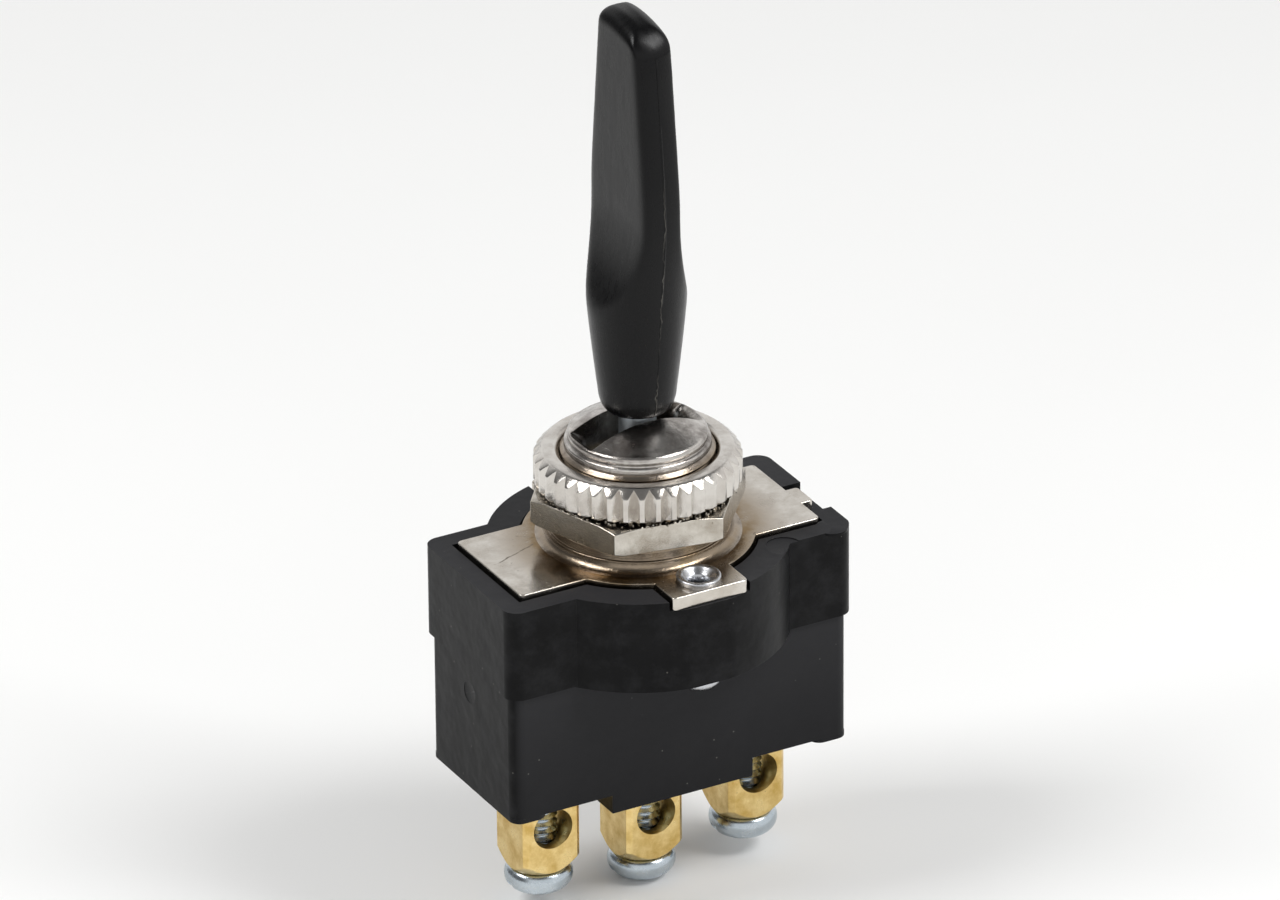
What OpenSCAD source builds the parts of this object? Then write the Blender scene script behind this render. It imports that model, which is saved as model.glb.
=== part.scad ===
// Panel toggle switch, single pole, centre off, three screw terminals.
// Frame: bushing axis is Z, +Z out of the panel, long side of the body along X.
// Origin on the bushing axis, level with the rim of the moulded housing.

/* [Housing] */
// length of the moulded housing
body_len = 30.0; // [28:0.1:34]
// width of the moulded housing between its long walls
body_w = 14.2; // [13.6:0.1:16]
// rim down to the step under the thicker upper part
upper_h = 7.5; // [6.5:0.1:8.5]
// how far the lower part stands in from the upper part
step_in = 0.35; // [0.1:0.05:0.6]
// radius of the round bulges that carry the rivets
bulge_r = 11.7; // [11.3:0.1:12.5]
// rim down to the underside of the two end feet
foot_z = 18.35; // [17.9:0.05:19.5]
// how much lower the middle foot reaches than the end feet
mid_drop = 1.2; // [0.6:0.1:1.6]
// length of the middle foot
mid_len = 12.3; // [11:0.1:12.8]
// length of each end foot
end_len = 3.0; // [2.4:0.1:3.6]
// thickness of the long walls beside the chamber
wall_t = 2.0; // [1.4:0.1:2.2]
// thickness of the end walls beside the chamber
end_t = 2.5; // [1.8:0.1:2.7]

/* [Cover plate] */
// thickness of the cover plate
plate_t = 1.1; // [0.8:0.1:1.4]
// how far the plate stands proud of the housing rim
plate_proud = 0.35; // [0.1:0.05:0.6]
// length of the plate over its two end tabs
plate_len = 26.1; // [24:0.1:26.6]
// width of the two end tabs
tab_w = 10.35; // [9.4:0.05:10.6]
// radius of the round middle of the plate
disc_r = 9.0; // [8.6:0.1:9.4]
// how far the edge of each rivet ear stands back from the bulge
ear_back = 0.35; // [0.2:0.05:0.6]
// width of each rivet ear
ear_w = 6.5; // [5.6:0.1:7]
// gap all round between the plate and its pocket
plate_gap = 0.25; // [0.15:0.05:0.4]
// sideways place of the locating tongue on the right end
tongue_y = -0.75; // [-1.2:0.05:1.2]
// width of the locating tongue
tongue_w = 2.5; // [2:0.1:3.2]
// width of the notch for the tongue in the end wall
notch_w = 4.75; // [4:0.05:5.5]

/* [Bushing and nuts] */
// outside diameter of the threaded bushing
thread_d = 12.0; // [11.5:0.1:12.4]
// radius of the shoulder the hex nut seats on
shoulder_r = 6.95; // [6.5:0.05:7.2]
// radius of the fillet that runs from the shoulder out to the plate
shoulder_fillet = 0.85; // [0.5:0.05:1]
// height of the seat face above the housing rim
seat_z = 2.3; // [1.9:0.1:2.6]
// end of the thread
thread_top = 7.75; // [7.6:0.05:8]
// top of the domed end
dome_top = 10.3; // [9.9:0.1:10.6]
// width of the lever slot
slot_w = 3.4; // [3.3:0.05:3.8]
// length of the lever slot
slot_len = 9.75; // [9.5:0.05:10.1]
// across flats of the hex nut
hex_af = 15.0; // [14.4:0.1:16]
// thickness of the hex nut
hex_h = 2.15; // [1.8:0.05:2.3]
// diameter over the teeth of the knurled nut
knurl_d = 16.0; // [15.6:0.1:16.4]
// thickness of the knurled nut
knurl_h = 2.8; // [2.5:0.1:2.9]
// number of teeth on the knurled nut
knurl_n = 40; // [36:1:48]
// depth of the grooves between the teeth
knurl_depth = 0.58; // [0.4:0.02:0.62]
// play between a nut and the thread, on the radius
nut_play = 0.05; // [0.02:0.01:0.1]

/* [Lever] */
// height of the lever pivot above the housing rim
pivot_z = 3.0; // [2.8:0.1:3.2]
// diameter of the lever rod
rod_d = 2.9; // [2.6:0.1:2.9]
// diameter of the ball on the lever
ball_d = 7.6; // [7.2:0.1:7.6]
// diameter of the pivot pin
pin_d = 1.6; // [1.2:0.1:1.8]
// lower end of the sleeve
sleeve_z = 10.8; // [10.7:0.1:11.2]
// upper end of the sleeve
sleeve_top = 43.75; // [42:0.05:45]
// radius that rolls the top of the sleeve over from flat to flat
sleeve_roll = 1.3; // [0.8:0.1:1.5]
// thickness of the sleeve between its two flats
paddle_t = 3.25; // [3.1:0.05:3.8]
// radius of the scooped run-out of each flat
scoop_r = 14.5; // [12:0.5:18]
// height at which the scoop starts to leave the flat
scoop_z = 28.0; // [27:0.5:30]

/* [Contacts] */
// distance between terminal centres
pitch = 9.05; // [8.9:0.05:9.2]
// diameter of the plunger
plunger_d = 2.6; // [2.4:0.1:2.8]
// height of the rocker axle above the housing rim
rocker_z = -12.3; // [-12.4:0.1:-12.2]
// half length of the rocker
rocker_half = 7.6; // [7.5:0.05:7.9]
// distance of the silver tips from the middle
tip_x = 6.2; // [6.1:0.05:6.25]
// width of the rocker
rocker_w = 3.8; // [3:0.1:4]
// diameter of the rocker axle
axle_d = 1.3; // [1:0.1:1.4]
// diameter of the silver tips
tip_d = 2.4; // [2:0.1:2.8]

/* [Terminals] */
// side of the square terminal blocks
block_w = 4.95; // [4.6:0.05:5.1]
// underside of the two outer terminal blocks
block_z = -26.05; // [-26.6:0.05:-25.6]
// diameter of the wire hole
wire_d = 3.35; // [3.1:0.05:3.5]
// height of the wire hole above the underside of the block
wire_up = 3.9; // [3.7:0.1:4.2]
// diameter of the terminal screws
screw_d = 3.0; // [2.6:0.1:3]
// diameter of the screw heads
head_d = 5.35; // [5:0.05:5.6]
// height of the screw heads
head_h = 2.0; // [1.6:0.1:2.2]

/* [Rivets] */
// distance of each rivet from the edge of its ear
rivet_in = 1.95; // [1.9:0.05:2.2]
// diameter of the rivet shank
rivet_d = 2.3; // [2:0.1:2.5]
// diameter of the rivet flange
rivet_head = 3.5; // [3.2:0.1:3.6]

/* [Hidden] */
$fn = 96;
e = 0.02;
ear_reach = bulge_r - ear_back;
rivet_y = ear_reach - rivet_in;
plate_top = plate_proud;
plate_bot = plate_proud - plate_t;
low_len = body_len - 2 * step_in;
low_w = body_w - 2 * step_in;
end_in = foot_z - 0.35;
mid_z = foot_z + mid_drop;
cham_w = low_w - 2 * wall_t;
cham_len = body_len - 2 * end_t;
floor_z = -16.2;
block_top = -17.2;
thread_r = thread_d / 2;
bore_r = ball_d / 2 + 0.4;
knurl_z = seat_z + hex_h + 0.35;
play = 0.05;
plunger_tip = rocker_z + 1.7;
plunger_hole = plunger_d + 2 * play;
plunger_top = -4.0;
stem_d = 5.0;
rod_top = 36;
bracket_l = 4.6;
cheek_l = 3.4;
axle_over = 0.9;
across = 20;
flange_out = 1.5;
flange_t = 0.6;
tip_back = 0.2;
end_gap = 0.5;
spigot_d = 1.2;
stud_d = 1.0;
arm_bot = -6.0;
hole_top = pivot_z - ball_d / 2 + 0.2;
cheek_y = rocker_w / 2 + 0.35;
cheek_t = 0.8;
bracket_t = 0.8;
plate2_t = 0.8;
rocker_t = 0.8;
fix_top = rocker_z - 2.4;
shank_d = 2.4;
shank_head_d = 3.1;
screw_top = block_z + wire_up + wire_d / 2 + 0.5;

module rounded(l, w, r) {
    hull()
        for (x = [-1, 1], y = [-1, 1])
            translate([x * (l / 2 - r), y * (w / 2 - r)])
                circle(r, $fn = 32);
}

module slab(z0, z1) {
    translate([0, 0, z0])
        linear_extrude(z1 - z0)
            children();
}

module rod(d, z0, z1) {
    translate([0, 0, z0])
        cylinder(d = d, h = z1 - z0);
}

// ---------------------------------------------------------------- housing

module bulges_2d() {
    intersection() {
        circle(bulge_r);
        square([body_len, 2 * bulge_r - 0.2], center = true);
    }
}

module pocket_2d() {
    circle(disc_r + plate_gap);
    square([plate_len + 2 * plate_gap, tab_w + 2 * plate_gap], center = true);
    square([ear_w + 2 * plate_gap, 2 * bulge_r + 2], center = true);
    translate([body_len / 2 - 1, tongue_y - 0.3])
        square([4, notch_w], center = true);
}

module housing() {
    color([0.11, 0.11, 0.12])
        difference() {
            union() {
                slab(-upper_h, 0)
                    rounded(body_len, body_w, 1.2);
                slab(-upper_h - 0.1, 0)
                    bulges_2d();
                slab(-end_in, -upper_h + e)
                    rounded(low_len, low_w, 1.0);
                // the two end feet and the deeper middle foot
                for (s = [-1, 1])
                    translate([s * (low_len - end_len) / 2, 0, 0])
                        slab(-foot_z, -end_in + e)
                            rounded(end_len, low_w, 0.9);
                slab(-mid_z, -end_in + e)
                    square([mid_len, low_w], center = true);
            }
            // pocket for the cover plate
            slab(plate_bot, 1)
                pocket_2d();
            // chamber for the contacts
            slab(floor_z, plate_bot + e)
                square([cham_len, cham_w], center = true);
            // room for the swing of the lever, and for the flange of the bushing
            rod(2 * bore_r + 1.6, -7, plate_bot + e);
            rod(2 * (bore_r + flange_out + 0.1), plate_bot - flange_t - 0.1, plate_bot + e);
            for (s = [-1, 1]) {
                // rivet holes
                translate([0, s * rivet_y, 0])
                    rod(rivet_d, -upper_h - 1, 1);
                // seats of the outer terminals
                terminal_seat(s * pitch, 0);
            }
            terminal_seat(0, -mid_drop);
            // round ejector marks on the rim and on the right end
            translate([body_len / 2 - 1.6, -body_w / 2 + 0.75, -0.12])
                cylinder(r = 1.0, h = 1);
            // small round moulding mark on the left end
            translate([-low_len / 2 + 0.12, 0.3, -10.05])
                rotate([0, -90, 0])
                    cylinder(r = 0.9, h = 1);
        }
}

module terminal_seat(x, dz) {
    translate([x, 0, 0]) {
        slab(-mid_z - 1, block_top + dz)
            square(block_w, center = true);
        rod(shank_d, block_top - 2, floor_z + 1);
    }
}

// ---------------------------------------------------------------- cover plate

module plate_2d() {
    circle(disc_r);
    rounded(plate_len, tab_w, 0.4);
    rounded(ear_w, 2 * ear_reach, 0.35);
}

module cover_plate() {
    color([0.78, 0.77, 0.74])
        difference() {
            union() {
                slab(plate_bot, plate_top)
                    plate_2d();
                // locating tongue, joggled down into the notch of the end wall
                translate([plate_len / 2 + 0.2, tongue_y, 0])
                    slab(plate_bot, plate_top - 0.2)
                        rounded(2.0, tongue_w, 0.3);
            }
            rod(2 * (bore_r + 0.9), plate_bot - 1, plate_top + 1);
            for (s = [-1, 1])
                translate([0, s * rivet_y, 0])
                    rod(rivet_d, plate_bot - 1, plate_top + 1);
        }
}

// ---------------------------------------------------------------- bushing

// half section of the bushing: shoulder, thread, rounded dome
dome_R = 9.2;
dome_edge = 5.5;
function dome_z(r) = dome_top - dome_R + sqrt(dome_R * dome_R - r * r);
function bushing_outer() = concat(
    [[bore_r, plate_bot - flange_t],
     [bore_r + flange_out, plate_bot - flange_t],
     [bore_r + flange_out, plate_bot],
     [bore_r + 0.9, plate_bot],
     [bore_r + 0.9, plate_top]],
    [for (a = [0 : 15 : 90])
        [shoulder_r + shoulder_fillet * (1 - sin(a)), plate_top + shoulder_fillet * (1 - cos(a))]],
    [for (a = [0 : 15 : 90])
        [shoulder_r - 0.5 + 0.5 * cos(a), seat_z - 0.5 + 0.5 * sin(a)]],
    [[thread_r - 0.25, seat_z],
     [thread_r, seat_z + 0.25],
     [thread_r, thread_top - 0.4],
     [thread_r - 0.4, thread_top],
     [dome_edge, thread_top + 0.15],
     [dome_edge, dome_z(dome_edge - 0.35) - 0.4]],
    [for (a = [15 : 15 : 60])
        [dome_edge - 0.45 + 0.45 * cos(a), dome_z(dome_edge - 0.35) - 0.4 + 0.45 * sin(a)]],
    [for (i = [10 : -1 : 0])
        [(dome_edge - 0.4) * i / 10, dome_z((dome_edge - 0.4) * i / 10)]]);

module bushing() {
    color([0.72, 0.7, 0.66])
        difference() {
            rotate_extrude()
                polygon(concat(bushing_outer(), [[0, 8.0], [bore_r, 8.0 - 0.9]]));
            // lever slot
            slab(7.0, 12)
                rounded(slot_len, slot_w, 0.9);
            // hole for the pivot pin
            translate([0, 0, pivot_z])
                rotate([90, 0, 0])
                    cylinder(d = pin_d, h = 20, center = true);
        }
}

module pivot_pin() {
    color([0.6, 0.61, 0.63])
        translate([0, 0, pivot_z])
            rotate([90, 0, 0])
                cylinder(d = pin_d, h = 2 * thread_r - 0.6, center = true);
}

// ---------------------------------------------------------------- nuts

module hex_nut() {
    hr = hex_af / sqrt(3);
    color([0.7, 0.69, 0.66])
        difference() {
            intersection() {
                translate([0, 0, seat_z])
                    rotate([0, 0, -130.7])
                        cylinder(r = hr, h = hex_h, $fn = 6);
                rotate_extrude()
                    polygon([[0, seat_z], [hr - 0.35, seat_z], [hr + 0.1, seat_z + 0.25],
                        [hr + 0.1, seat_z + hex_h - 0.3], [hr - 0.75, seat_z + hex_h],
                        [0, seat_z + hex_h]]);
            }
            nut_bore(seat_z, hex_h, 0.3);
        }
}

module nut_bore(z, h, c) {
    r = thread_r + nut_play;
    rotate_extrude()
        polygon([[0, z - 1], [r + c + 1, z - 1], [r, z + c], [r, z + h - c],
            [r + c + 1, z + h + 1], [0, z + h + 1]]);
}

// each tooth is a narrow land between two wide V grooves
function knurl_points(R, depth, n) = [
    for (i = [0 : n - 1], k = [0 : 2])
        let(a = (i + [-0.14, 0.14, 0.5][k]) * 360 / n + 0.35, rr = R - [0, 0, depth][k])
            [rr * cos(a), rr * sin(a)]];

module knurled_nut() {
    R = knurl_d / 2;
    z1 = knurl_z + knurl_h;
    color([0.74, 0.72, 0.69])
        difference() {
            intersection() {
                slab(knurl_z, z1)
                    polygon(knurl_points(R, knurl_depth, knurl_n));
                rotate_extrude()
                    polygon([[0, knurl_z], [R - 0.3, knurl_z], [R + 0.05, knurl_z + 0.2],
                        [R + 0.05, z1 - knurl_depth - 0.07], [R - knurl_depth - 0.02, z1], [0, z1]]);
            }
            nut_bore(knurl_z, knurl_h, 0.35);
        }
}

// ---------------------------------------------------------------- lever

// height and radius of the sleeve before its flats are cut
sleeve_prof = [[12.1, 2.97], [13.0, 3.08], [14.9, 3.3], [17.3, 3.57], [20.1, 3.84], [22.5, 4.1],
    [24.5, 4.38], [26.3, 4.55], [28.2, 4.62], [30.0, 4.54], [32.0, 4.36], [35.0, 4.04],
    [38.0, 3.73], [41.3, 3.4]];

// the flats, the scooped run-out under each of them and the rolled top, seen along Y
module paddle_side() {
    t = paddle_t / 2;
    difference() {
        translate([-8, sleeve_z - 1])
            square([16, sleeve_top - sleeve_z + 1]);
        for (s = [-1, 1]) {
            translate([s * (t + 10), scoop_z + 20])
                square([20, 40], center = true);
            translate([s * (t + scoop_r), scoop_z])
                circle(scoop_r);
            // rolled edge along the top
            difference() {
                translate([s * (t - sleeve_roll / 2), sleeve_top - sleeve_roll / 2 + 0.5])
                    square([sleeve_roll, sleeve_roll + 1], center = true);
                translate([s * (t - sleeve_roll), sleeve_top - sleeve_roll])
                    circle(sleeve_roll);
            }
        }
    }
}

module lever_sleeve() {
    top_r = 1.9;
    color([0.1, 0.1, 0.11])
        difference() {
            intersection() {
                rotate_extrude()
                    polygon(concat(
                        [[0, sleeve_z], [1.8, sleeve_z]],
                        [for (a = [15 : 15 : 75])
                            [1.8 + 1.15 * sin(a), sleeve_z + 1.15 - 1.15 * cos(a)]],
                        [for (p = sleeve_prof) [p[1], p[0]]],
                        [for (a = [0 : 15 : 75])
                            [3.3 - top_r + top_r * cos(a), sleeve_top - 0.1 - top_r + top_r * sin(a)]],
                        [[1.0, sleeve_top], [0, sleeve_top]]));
                rotate([90, 0, 0])
                    linear_extrude(12, center = true)
                        paddle_side();
            }
            rod(rod_d, sleeve_z - 1, rod_top);
        }
}

module lever_rod() {
    color([0.62, 0.66, 0.7])
        difference() {
            union() {
                rod(rod_d, pivot_z, rod_top);
                translate([0, 0, pivot_z])
                    sphere(d = ball_d);
                rod(stem_d, arm_bot, pivot_z);
            }
            // bore for the spring and the plunger
            rod(plunger_hole, arm_bot - 1, hole_top);
            translate([0, 0, pivot_z])
                rotate([90, 0, 0])
                    cylinder(d = pin_d + 2 * play, h = 20, center = true);
        }
}

module plunger() {
    color([0.9, 0.88, 0.82])
        union() {
            rod(plunger_d, plunger_tip + plunger_d / 2, plunger_top);
            translate([0, 0, plunger_tip + plunger_d / 2])
                sphere(d = plunger_d);
        }
}

// round wire spring, its ring sections swept along a helix with closed ends
spring_wire = 0.36;
spring_r = (plunger_hole - spring_wire) / 2 - 0.06;
spring_z0 = plunger_top + spring_wire / 2;
spring_z1 = hole_top - spring_wire / 2;
spring_turns = 3.5;
spring_steps = 64;
spring_side = 8;
function spring_at(i) =
    let(t = i / spring_steps, a = 360 * spring_turns * t)
        [spring_r * cos(a), spring_r * sin(a), spring_z0 + (spring_z1 - spring_z0) * t];
function spring_ring(i) =
    let(c = spring_at(i), a = 360 * spring_turns * i / spring_steps)
        [for (k = [0 : spring_side - 1])
            let(b = 360 * k / spring_side, u = spring_wire / 2 * cos(b))
                [c[0] + u * cos(a), c[1] + u * sin(a), c[2] + spring_wire / 2 * sin(b)]];

module plunger_spring() {
    n = spring_side;
    m = spring_steps;
    pts = [for (i = [0 : m], p = spring_ring(i)) p];
    faces = concat(
        [[for (k = [0 : n - 1]) k]],
        [for (i = [0 : m - 1], k = [0 : n - 1])
            [i * n + k, (i + 1) * n + k, (i + 1) * n + (k + 1) % n, i * n + (k + 1) % n]],
        [[for (k = [n - 1 : -1 : 0]) m * n + k]]);
    color([0.65, 0.66, 0.68])
        polyhedron(points = pts, faces = faces, convexity = 8);
}

// ---------------------------------------------------------------- rocker

// one half of the rocker seen from the front, rising to a horn beside the plunger
function rocker_side(s, z) =
    let(p = [[0.8, z + 1.3], [3.3, z + 2.3], [3.9, z + 2.3], [4.3, z - 0.3 + rocker_t],
        [rocker_half, z - 0.3 + rocker_t], [rocker_half, z - 0.3], [4.3, z - 0.3], [0.8, z - 0.4]])
        [for (i = [0 : 7])
            let(q = p[s > 0 ? i : 7 - i])
                [s * q[0], q[1]]];

module rocker() {
    z = rocker_z;
    color([0.8, 0.5, 0.3])
        difference() {
            union() {
                // strip with raised ends and a cradle for the plunger
                rotate([90, 0, 0])
                    linear_extrude(rocker_w, center = true)
                        polygon(concat(rocker_side(1, z), rocker_side(-1, z)));
                // axle
                translate([0, 0, z])
                    rotate([90, 0, 0])
                        cylinder(d = axle_d, h = 2 * (cheek_y + cheek_t) - 0.1, center = true);
            }
            for (s = [-1, 1])
                translate([s * tip_x, 0, 0])
                    rod(spigot_d, z - 3, z + 3);
        }
}

module rocker_tip(s) {
    color([0.85, 0.85, 0.83])
        translate([s * tip_x, 0, 0])
            union() {
                rod(tip_d, rocker_z - 0.85, rocker_z - 0.3);
                rod(spigot_d, rocker_z - 0.4, rocker_z + rocker_t - 0.1);
            }
}

module rocker_tip_left() {
    rocker_tip(-1);
}

module rocker_tip_right() {
    rocker_tip(1);
}

module fulcrum_bracket() {
    color([0.82, 0.65, 0.3])
        difference() {
            union() {
                slab(floor_z, floor_z + bracket_t)
                    square([bracket_l, 2 * (cheek_y + cheek_t)], center = true);
                for (s = [-1, 1])
                    translate([0, s * (cheek_y + cheek_t / 2), 0])
                        slab(floor_z, rocker_z + axle_over)
                            square([cheek_l, cheek_t], center = true);
            }
            translate([0, 0, rocker_z])
                rotate([90, 0, 0])
                    cylinder(d = axle_d + 2 * play, h = across, center = true);
            translate([-axle_d / 2 - play, -across / 2, rocker_z])
                cube([axle_d + 2 * play, across, 2 * axle_over]);
            rod(shank_d, floor_z - bracket_t, floor_z + 2 * bracket_t);
        }
}

// ---------------------------------------------------------------- fixed contacts

module contact_plate(s) {
    plate_in = tip_x - tip_d / 2 - tip_back;
    plate_out = cham_len / 2 - end_gap;
    color([0.82, 0.65, 0.3])
        difference() {
            slab(floor_z, floor_z + plate2_t)
                translate([s * (plate_in + plate_out) / 2, 0])
                    square([plate_out - plate_in, block_w], center = true);
            translate([s * pitch, 0, 0])
                rod(shank_d, floor_z - plate2_t, floor_z + 2 * plate2_t);
            translate([s * tip_x, 0, 0])
                rod(stud_d, floor_z - plate2_t, floor_z + 2 * plate2_t);
        }
}

module contact_plate_left() {
    contact_plate(-1);
}

module contact_plate_right() {
    contact_plate(1);
}

module fixed_tip(s) {
    color([0.85, 0.85, 0.83])
        translate([s * tip_x, 0, 0])
            union() {
                rod(stud_d, floor_z, floor_z + plate2_t + e);
                rod(tip_d, floor_z + plate2_t, fix_top);
            }
}

module fixed_tip_left() {
    fixed_tip(-1);
}

module fixed_tip_right() {
    fixed_tip(1);
}

// ---------------------------------------------------------------- terminals

// square bar, lathe-chamfered at its lower end, with a shank staked through the floor
module terminal(x, dz) {
    zb = block_z + dz;
    zt = block_top + dz;
    color([0.8, 0.62, 0.28])
        translate([x, 0, 0])
            difference() {
                union() {
                    intersection() {
                        slab(zb, zt)
                            square(block_w, center = true);
                        slab(zb, zt)
                            rotate([0, 0, 45])
                                square(block_w * sqrt(2) - 0.55, center = true);
                        rotate_extrude()
                            polygon([[0, zb], [block_w / 2 - 0.05, zb],
                                [block_w / 2 + 1.2, zb + 1.5], [block_w / 2 + 1.2, zt], [0, zt]]);
                    }
                    rod(shank_d, zt - e, floor_z + plate2_t + 0.1);
                    rod(shank_head_d, floor_z + plate2_t, floor_z + plate2_t + 0.5);
                }
                translate([0, 0, zb + wire_up])
                    rotate([90, 0, 0])
                        cylinder(d = wire_d, h = 20, center = true);
                rod(screw_d + 2 * play, zb - 1, screw_top + dz + 0.5);
            }
}

module terminal_left() {
    terminal(-pitch, 0);
}

module terminal_centre() {
    terminal(0, -mid_drop);
}

module terminal_right() {
    terminal(pitch, 0);
}

module terminal_screw(x, dz) {
    zh = block_z + dz - 0.1;
    color([0.62, 0.66, 0.7])
        translate([x, 0, 0])
            difference() {
                union() {
                    rod(screw_d, zh - 0.5, screw_top + dz);
                    rotate_extrude()
                        polygon(concat([[0, zh], [head_d / 2 - 0.25, zh], [head_d / 2, zh - 0.25]],
                            [for (a = [0 : 10 : 90])
                                [head_d / 2 - 1.2 + 1.2 * cos(a),
                                    zh - 0.75 - (head_h - 0.75) * sin(a)]],
                            [[0, zh - head_h]]));
                }
                translate([0, 0, zh - head_h])
                    cube([head_d + 1, 0.8, 2.0], center = true);
            }
}

module terminal_screw_left() {
    terminal_screw(-pitch, 0);
}

module terminal_screw_centre() {
    terminal_screw(0, -mid_drop);
}

module terminal_screw_right() {
    terminal_screw(pitch, 0);
}

// ---------------------------------------------------------------- rivets

// tubular rivet: dished flange on the plate, rolled end under the bulge
module rivet(s) {
    r = rivet_head / 2;
    q = rivet_d / 2;
    z0 = -upper_h - 0.1;
    color([0.78, 0.78, 0.8])
        translate([0, s * rivet_y, 0])
            rotate_extrude()
                polygon([[0.7, z0 - 0.75], [1.1, z0 - 1.0], [r - 0.35, z0 - 0.85],
                    [r, z0 - 0.45], [r - 0.1, z0 - 0.1], [q + 0.1, z0], [q, z0], [q, plate_top],
                    [r - 0.1, plate_top], [r, plate_top + 0.15], [r - 0.15, plate_top + 0.4],
                    [r - 0.45, plate_top + 0.42], [1.0, plate_top + 0.15],
                    [0.7, plate_top - 0.5]]);
}

module rivet_front() {
    rivet(-1);
}

module rivet_rear() {
    rivet(1);
}

// ---------------------------------------------------------------- nodes

housing();
cover_plate();
bushing();
hex_nut();
knurled_nut();
lever_rod();
lever_sleeve();
pivot_pin();
plunger();
plunger_spring();
rocker();
rocker_tip_left();
rocker_tip_right();
fulcrum_bracket();
contact_plate_left();
contact_plate_right();
fixed_tip_left();
fixed_tip_right();
terminal_left();
terminal_centre();
terminal_right();
terminal_screw_left();
terminal_screw_centre();
terminal_screw_right();
rivet_front();
rivet_rear();
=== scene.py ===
"""Panel toggle switch: moulded body, nickel-plated bushing and nuts, paddle sleeve, brass screw terminals.

Metres throughout, bushing axis on Z, long side of the body on X, origin level with the housing rim.
The mesh tools take millimetres. Each function below makes one piece or one finish; the last sections
dress the frame and set the floor, the lights and the camera.
"""
import math

import bmesh
import bpy
from mathutils import Matrix, Vector


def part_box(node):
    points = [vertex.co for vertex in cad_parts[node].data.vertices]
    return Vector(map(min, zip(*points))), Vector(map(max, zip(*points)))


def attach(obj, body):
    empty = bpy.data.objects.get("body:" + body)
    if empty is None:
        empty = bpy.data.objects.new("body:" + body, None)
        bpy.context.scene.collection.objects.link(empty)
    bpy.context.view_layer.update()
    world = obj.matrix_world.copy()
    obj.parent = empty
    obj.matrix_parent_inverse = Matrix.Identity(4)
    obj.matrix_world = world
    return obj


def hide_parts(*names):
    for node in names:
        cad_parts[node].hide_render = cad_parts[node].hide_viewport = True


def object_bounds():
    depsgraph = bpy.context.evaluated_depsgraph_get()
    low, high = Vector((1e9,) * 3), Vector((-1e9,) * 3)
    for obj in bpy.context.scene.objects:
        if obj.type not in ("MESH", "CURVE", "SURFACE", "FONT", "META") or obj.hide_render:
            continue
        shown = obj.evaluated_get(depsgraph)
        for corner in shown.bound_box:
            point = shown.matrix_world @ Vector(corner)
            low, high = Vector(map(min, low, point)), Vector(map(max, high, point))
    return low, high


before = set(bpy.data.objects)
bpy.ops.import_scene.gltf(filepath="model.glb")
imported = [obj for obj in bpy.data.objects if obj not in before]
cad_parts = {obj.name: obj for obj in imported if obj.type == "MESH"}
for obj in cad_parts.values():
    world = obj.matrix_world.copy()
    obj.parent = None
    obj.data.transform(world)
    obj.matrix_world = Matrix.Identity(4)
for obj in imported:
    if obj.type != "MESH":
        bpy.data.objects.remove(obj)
cad_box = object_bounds()
MM = 0.001

# ---------------------------------------------------------------- nodes and finishes


def linear(code):
    """sRGB hex to a linear colour."""
    parts = [int(code[i : i + 2], 16) / 255 for i in (1, 3, 5)]
    return tuple(c / 12.92 if c <= 0.04045 else ((c + 0.055) / 1.055) ** 2.4 for c in parts) + (1.0,)


def add(tree, kind, links=None, **settings):
    """Adds a node with its settings. An input takes a value, a colour's hex, a socket, or a node (then its
    first output)."""
    node = tree.nodes.new(kind)
    for key, value in settings.items():
        setattr(node, key, value)
    for key, value in (links or {}).items():
        if isinstance(value, bpy.types.Node):
            value = value.outputs[0]
        if isinstance(value, bpy.types.NodeSocket):
            tree.links.new(value, node.inputs[key])
        elif isinstance(value, str):
            node.inputs[key].default_value = linear(value)
        else:
            node.inputs[key].default_value = value
    return node


def finish(name, **shader):
    """A material with its shader and the object coordinates that its patterns read."""
    mat = bpy.data.materials.new(name)
    mat.use_nodes = True
    tree = mat.node_tree
    tree.nodes.clear()
    body = add(tree, "ShaderNodeBsdfPrincipled", shader)
    add(tree, "ShaderNodeOutputMaterial", {"Surface": body})
    return mat, tree, body, add(tree, "ShaderNodeTexCoord").outputs["Object"]


def per(mm):
    """Texture scale for features this many millimetres across."""
    return 1 / (mm * MM)


def specks(tree, where, mm, share, size):
    """Cells mm across, of which a share hold one round speck as wide as size of a cell: 1 in a speck."""
    cells = add(tree, "ShaderNodeTexVoronoi", {"Vector": where, "Scale": per(mm), "Randomness": 1.0})
    chance = add(tree, "ShaderNodeTexWhiteNoise", {"Vector": cells.outputs["Position"]},
                 noise_dimensions="3D")
    few = add(tree, "ShaderNodeMath", {0: chance.outputs["Value"], 1: 1 - share}, operation="GREATER_THAN")
    spot = add(tree, "ShaderNodeMapRange", {"Value": cells.outputs["Distance"], "From Min": size * 0.6,
                                            "From Max": size, "To Min": 1.0, "To Max": 0.0})
    return add(tree, "ShaderNodeMath", {0: few, 1: spot}, operation="MULTIPLY").outputs[0]


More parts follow.
